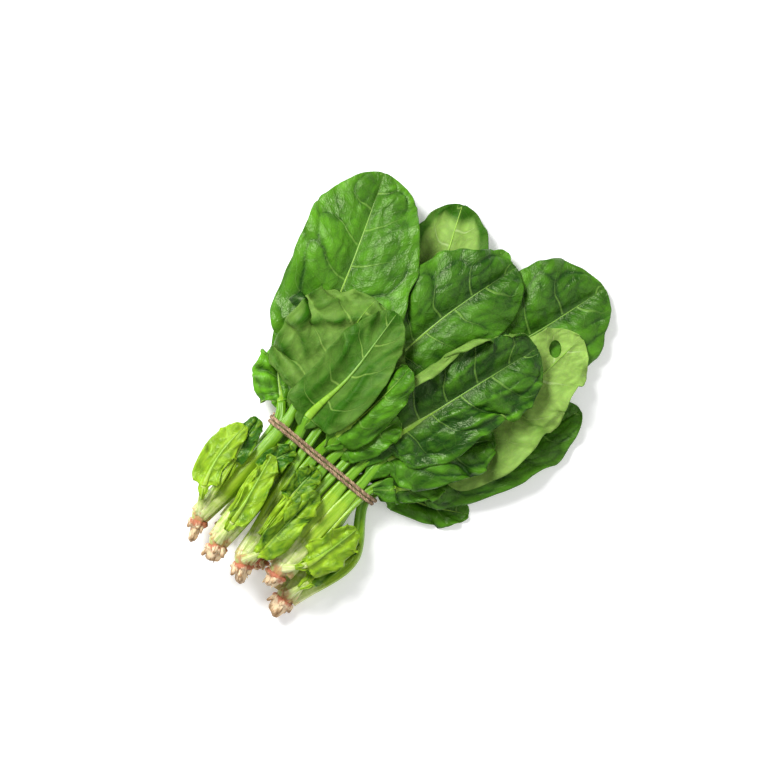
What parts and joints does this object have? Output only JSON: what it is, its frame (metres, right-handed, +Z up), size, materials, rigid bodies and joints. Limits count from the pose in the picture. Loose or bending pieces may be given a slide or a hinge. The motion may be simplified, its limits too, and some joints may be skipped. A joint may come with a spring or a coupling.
{
  "type": "spinach bunch",
  "caption": "Bunch of whole young spinach plants lying flat: broad wavy green leaves on fleshy pale stalks, root stubs left on, tied with jute twine near the root end.",
  "frame": {"origin": "middle of the bunch's bounding box, on the table it lies on", "axes": "+X from the roots to the leaf tips, +Z up from the table, +Y to the bunch's left seen from the roots"},
  "size_m": [0.3062, 0.2272, 0.0602],
  "materials": {
    "leaf_upper": "satin, dark green, pale veins",
    "leaf_underside": "matt, greyish light green, raised veins",
    "stalk": "satin, ridged along, light green to white at the crown",
    "root_skin": "matt, cream and pink",
    "jute": "matt, hairy twine"
  },
  "bodies": {
    "root": {"plant_a_leaf_1": "leaf_upper", "plant_a_leaf_2": "leaf_upper", "plant_a_leaf_3": "leaf_upper", "plant_a_leaf_4": "leaf_underside", "plant_a_leaf_5": "leaf_underside", "plant_a_leaf_6": "leaf_upper", "plant_a_root": "root_skin", "plant_a_stalks": "stalk", "plant_b_leaf_1": "leaf_upper", "plant_b_leaf_2": "leaf_underside", "plant_b_leaf_3": "leaf_underside", "plant_b_leaf_4": "leaf_upper", "plant_b_root": "root_skin", "plant_b_stalks": "stalk", "plant_c_leaf_1": "leaf_upper", "plant_c_leaf_2": "leaf_upper", "plant_c_leaf_3": "leaf_upper", "plant_c_leaf_4": "leaf_upper", "plant_c_leaf_5": "leaf_upper", "plant_c_root": "root_skin", "plant_c_stalks": "stalk", "plant_d_leaf_1": "leaf_upper", "plant_d_leaf_2": "leaf_underside", "plant_d_leaf_3": "leaf_upper", "plant_d_leaf_4": "leaf_upper", "plant_d_leaf_5": "leaf_underside", "plant_d_root": "root_skin", "plant_d_stalks": "stalk", "plant_e_leaf_1": "leaf_upper", "plant_e_leaf_2": "leaf_upper", "plant_e_leaf_3": "leaf_upper", "plant_e_leaf_4": "leaf_upper", "plant_e_leaf_5": "leaf_upper", "plant_e_leaf_6": "leaf_upper", "plant_e_root": "root_skin", "plant_e_stalks": "stalk", "plant_f_leaf_1": "leaf_upper", "plant_f_leaf_2": "leaf_upper", "plant_f_leaf_3": "leaf_upper", "plant_f_leaf_4": "leaf_upper", "plant_f_leaf_5": "leaf_upper", "plant_f_root": "root_skin", "plant_f_stalks": "stalk", "plant_g_leaf_1": "leaf_upper", "plant_g_leaf_2": "leaf_upper", "plant_g_leaf_3": "leaf_upper", "plant_g_leaf_4": "leaf_upper", "plant_g_leaf_5": "leaf_underside", "plant_g_root": "root_skin", "plant_g_stalks": "stalk", "twine_tie": "jute"}
  },
  "joints": []
}
